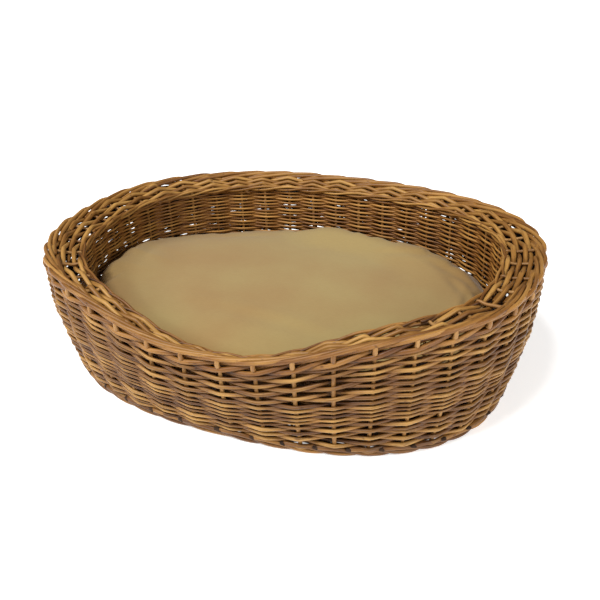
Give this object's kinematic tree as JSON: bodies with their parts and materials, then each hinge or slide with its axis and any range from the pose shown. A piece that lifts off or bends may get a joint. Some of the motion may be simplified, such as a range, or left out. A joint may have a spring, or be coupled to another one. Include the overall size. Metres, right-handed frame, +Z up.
{
  "type": "wicker pet bed basket",
  "caption": "Oval double-walled willow pet bed with a dipped front, a broad rolled brim and a loose domed cushion that lifts out.",
  "frame": {"origin": "middle of the footprint under the rim, on the floor", "axes": "+X along the length to the right end, +Y to the back (the dipped front faces -Y), +Z up"},
  "size_m": [0.799, 0.6133, 0.2197],
  "materials": {
    "wall_willow": "satin steamed willow rods, honey brown to greyish tan",
    "brim_willow": "satin steamed willow rods, golden to orange brown",
    "stick_willow": "satin willow sticks, pale tan",
    "base_willow": "satin willow rods, brown",
    "cushion_cotton": "plain matt khaki cotton",
    "cushion_fibre": "loose white fibre filling"
  },
  "bodies": {
    "basket": {"base_long_sticks": "stick_willow", "base_cross_sticks": "stick_willow", "base_weave": "base_willow", "foot_lower_rod": "wall_willow", "foot_upper_rod": "wall_willow", "wall_stakes": "stick_willow", "outer_lower_weave": "wall_willow", "outer_packing_weave": "wall_willow", "outer_upper_weave": "wall_willow", "rim_wale_lower_rod": "brim_willow", "rim_wale_upper_rod": "brim_willow", "brim_weaver_1": "brim_willow", "brim_weaver_2": "brim_willow", "brim_weaver_3": "brim_willow", "brim_weaver_4": "brim_willow", "brim_weaver_5": "brim_willow", "brim_weaver_6": "brim_willow", "inner_rim_upper_rod": "brim_willow", "inner_rim_lower_rod": "brim_willow", "inner_upper_weave": "wall_willow", "inner_lower_weave": "wall_willow"},
    "cushion": {"cushion_cover": "cushion_cotton", "cushion_filling": "cushion_fibre"}
  },
  "joints": [
    {"name": "cushion_lift", "type": "slide", "parent": "basket", "child": "cushion", "axis": [0, 0, 1], "range_m": [0, 0.26]}
  ]
}
